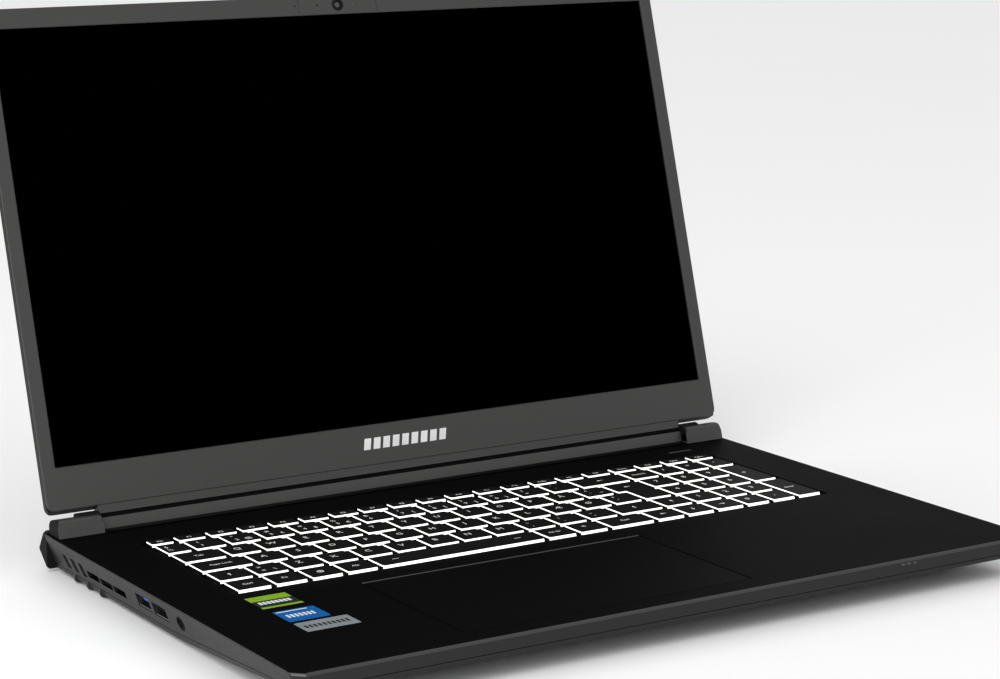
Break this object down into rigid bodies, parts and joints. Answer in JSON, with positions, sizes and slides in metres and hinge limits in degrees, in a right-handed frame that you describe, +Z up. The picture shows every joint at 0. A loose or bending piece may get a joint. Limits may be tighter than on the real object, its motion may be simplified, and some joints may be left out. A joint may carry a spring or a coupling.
{
  "type": "laptop computer",
  "caption": "Open laptop computer with a hinged screen lid, backlit keyboard with number pad, touchpad, side sockets and two cooling fans.",
  "frame": {"origin": "middle of the bounding box at table level, lid open at rest", "axes": "+X to the user's right along the hinge, +Y to the back, +Z up"},
  "size_m": [0.397, 0.33, 0.2672],
  "materials": {
    "base_shell": "fine matte texture",
    "deck": "black satin",
    "lid_shell": "dark grey, fine grain",
    "screen": "anti-glare film, switched off",
    "keycap": "matte black with lit edges",
    "backlight_plate": "white diffuser",
    "steel": "stamped",
    "copper": "copper, brushed",
    "circuit": "green solder mask",
    "black_plastic": "moulded",
    "rubber": "matte"
  },
  "bodies": {
    "base": {"palm_rest_deck": "deck", "bottom_cover": "base_shell", "rear_exhaust_housing": "base_shell", "front_foot": "rubber", "rear_foot": "rubber", "left_hinge_pod": "base_shell", "right_hinge_pod": "base_shell", "left_hinge_bracket": "steel", "right_hinge_bracket": "steel", "left_fan_housing": "black_plastic", "right_fan_housing": "black_plastic", "keyboard_plate": "backlight_plate", "heat_pipe_assembly": "copper", "usb_socket_rear": "steel", "usb_socket_front": "steel", "usb_socket_right": "steel", "headset_socket": "black_plastic", "power_inlet": "steel", "video_socket": "steel", "usb_c_socket": "steel", "mainboard": "circuit", "solid_state_drive": "circuit", "memory_module": "circuit", "battery_pack": "black_plastic", "left_speaker": "black_plastic", "right_speaker": "black_plastic"},
    "lid": {"lid_back_cover": "lid_shell", "screen_bezel": "lid_shell", "display_panel": "screen", "webcam_module": "black_plastic", "hinge_bar_cover": "lid_shell", "left_hinge_leaf": "steel", "right_hinge_leaf": "steel"},
    "touchpad": {"touchpad": "deck"},
    "power_button": {"power_button": "black_plastic"},
    "left_fan_rotor": {"left_fan_rotor": "black_plastic"},
    "right_fan_rotor": {"right_fan_rotor": "black_plastic"},
    "keys_bottom_left": {"keys_bottom_left": "keycap"},
    "key_space": {"key_space": "keycap"},
    "keys_bottom_right": {"keys_bottom_right": "keycap"},
    "key_arrow_left": {"key_arrow_left": "keycap"},
    "key_arrow_down": {"key_arrow_down": "keycap"},
    "key_arrow_right": {"key_arrow_right": "keycap"},
    "keys_lower_letter_row": {"keys_lower_letter_row": "keycap"},
    "key_right_shift": {"key_right_shift": "keycap"},
    "key_arrow_up": {"key_arrow_up": "keycap"},
    "keys_home_letter_row": {"keys_home_letter_row": "keycap"},
    "keys_upper_letter_row": {"keys_upper_letter_row": "keycap"},
    "keys_number_row": {"keys_number_row": "keycap"},
    "key_backspace": {"key_backspace": "keycap"},
    "key_enter": {"key_enter": "keycap"},
    "keys_function_row": {"keys_function_row": "keycap"},
    "keys_numpad_123": {"keys_numpad_123": "keycap"},
    "keys_numpad_456": {"keys_numpad_456": "keycap"},
    "keys_numpad_789": {"keys_numpad_789": "keycap"},
    "keys_numpad_top": {"keys_numpad_top": "keycap"},
    "keys_numpad_zero_point": {"keys_numpad_zero_point": "keycap"},
    "key_numpad_enter": {"key_numpad_enter": "keycap"},
    "key_numpad_plus": {"key_numpad_plus": "keycap"}
  },
  "joints": [
    {"name": "lid_hinge", "type": "hinge", "parent": "base", "child": "lid", "pos_m": [0, 0.08996, 0.0225], "axis": [1, 0, 0], "range_deg": [-28.8, 106.2]},
    {"name": "touchpad_tip", "type": "hinge", "parent": "base", "child": "touchpad", "pos_m": [-0.035, -0.06204, 0.01935], "axis": [1, 0, 0], "range_deg": [0, 0.35], "stiffness_Nm_per_rad": 9, "springref_deg": -0.17},
    {"name": "power_button_press", "type": "slide", "parent": "base", "child": "power_button", "axis": [0, 0, -1], "range_m": [0, 0.0004], "stiffness_N_per_m": 400, "springref_m": -0.0004},
    {"name": "left_fan_spin", "type": "hinge", "parent": "base", "child": "left_fan_rotor", "pos_m": [-0.141, 0.03096, 0.0054], "axis": [0, 0, 1], "continuous": true},
    {"name": "right_fan_spin", "type": "hinge", "parent": "base", "child": "right_fan_rotor", "pos_m": [0.141, 0.03096, 0.0054], "axis": [0, 0, 1], "continuous": true},
    {"name": "bottom_left_press", "type": "slide", "parent": "base", "child": "keys_bottom_left", "axis": [0, 0, -1], "range_m": [0, 0.0015], "stiffness_N_per_m": 1000, "springref_m": -0.0008},
    {"name": "space_press", "type": "slide", "parent": "base", "child": "key_space", "axis": [0, 0, -1], "range_m": [0, 0.0015], "stiffness_N_per_m": 300, "springref_m": -0.0008},
    {"name": "bottom_right_press", "type": "slide", "parent": "base", "child": "keys_bottom_right", "axis": [0, 0, -1], "range_m": [0, 0.0015], "stiffness_N_per_m": 750, "springref_m": -0.0008},
    {"name": "arrow_left_press", "type": "slide", "parent": "base", "child": "key_arrow_left", "axis": [0, 0, -1], "range_m": [0, 0.0015], "stiffness_N_per_m": 300, "springref_m": -0.0008},
    {"name": "arrow_down_press", "type": "slide", "parent": "base", "child": "key_arrow_down", "axis": [0, 0, -1], "range_m": [0, 0.0015], "stiffness_N_per_m": 300, "springref_m": -0.0008},
    {"name": "arrow_right_press", "type": "slide", "parent": "base", "child": "key_arrow_right", "axis": [0, 0, -1], "range_m": [0, 0.0015], "stiffness_N_per_m": 300, "springref_m": -0.0008},
    {"name": "lower_letter_row_press", "type": "slide", "parent": "base", "child": "keys_lower_letter_row", "axis": [0, 0, -1], "range_m": [0, 0.0015], "stiffness_N_per_m": 3000, "springref_m": -0.0008},
    {"name": "right_shift_press", "type": "slide", "parent": "base", "child": "key_right_shift", "axis": [0, 0, -1], "range_m": [0, 0.0015], "stiffness_N_per_m": 300, "springref_m": -0.0008},
    {"name": "arrow_up_press", "type": "slide", "parent": "base", "child": "key_arrow_up", "axis": [0, 0, -1], "range_m": [0, 0.0015], "stiffness_N_per_m": 300, "springref_m": -0.0008},
    {"name": "home_letter_row_press", "type": "slide", "parent": "base", "child": "keys_home_letter_row", "axis": [0, 0, -1], "range_m": [0, 0.0015], "stiffness_N_per_m": 3250, "springref_m": -0.0008},
    {"name": "upper_letter_row_press", "type": "slide", "parent": "base", "child": "keys_upper_letter_row", "axis": [0, 0, -1], "range_m": [0, 0.0015], "stiffness_N_per_m": 3250, "springref_m": -0.0008},
    {"name": "number_row_press", "type": "slide", "parent": "base", "child": "keys_number_row", "axis": [0, 0, -1], "range_m": [0, 0.0015], "stiffness_N_per_m": 3250, "springref_m": -0.0008},
    {"name": "backspace_press", "type": "slide", "parent": "base", "child": "key_backspace", "axis": [0, 0, -1], "range_m": [0, 0.0015], "stiffness_N_per_m": 300, "springref_m": -0.0008},
    {"name": "enter_press", "type": "slide", "parent": "base", "child": "key_enter", "axis": [0, 0, -1], "range_m": [0, 0.0015], "stiffness_N_per_m": 300, "springref_m": -0.0008},
    {"name": "function_row_press", "type": "slide", "parent": "base", "child": "keys_function_row", "axis": [0, 0, -1], "range_m": [0, 0.0015], "stiffness_N_per_m": 5000, "springref_m": -0.0008},
    {"name": "numpad_123_press", "type": "slide", "parent": "base", "child": "keys_numpad_123", "axis": [0, 0, -1], "range_m": [0, 0.0015], "stiffness_N_per_m": 750, "springref_m": -0.0008},
    {"name": "numpad_456_press", "type": "slide", "parent": "base", "child": "keys_numpad_456", "axis": [0, 0, -1], "range_m": [0, 0.0015], "stiffness_N_per_m": 750, "springref_m": -0.0008},
    {"name": "numpad_789_press", "type": "slide", "parent": "base", "child": "keys_numpad_789", "axis": [0, 0, -1], "range_m": [0, 0.0015], "stiffness_N_per_m": 750, "springref_m": -0.0008},
    {"name": "numpad_top_press", "type": "slide", "parent": "base", "child": "keys_numpad_top", "axis": [0, 0, -1], "range_m": [0, 0.0015], "stiffness_N_per_m": 1000, "springref_m": -0.0008},
    {"name": "numpad_zero_point_press", "type": "slide", "parent": "base", "child": "keys_numpad_zero_point", "axis": [0, 0, -1], "range_m": [0, 0.0015], "stiffness_N_per_m": 500, "springref_m": -0.0008},
    {"name": "numpad_enter_press", "type": "slide", "parent": "base", "child": "key_numpad_enter", "axis": [0, 0, -1], "range_m": [0, 0.0015], "stiffness_N_per_m": 300, "springref_m": -0.0008},
    {"name": "numpad_plus_press", "type": "slide", "parent": "base", "child": "key_numpad_plus", "axis": [0, 0, -1], "range_m": [0, 0.0015], "stiffness_N_per_m": 300, "springref_m": -0.0008}
  ]
}
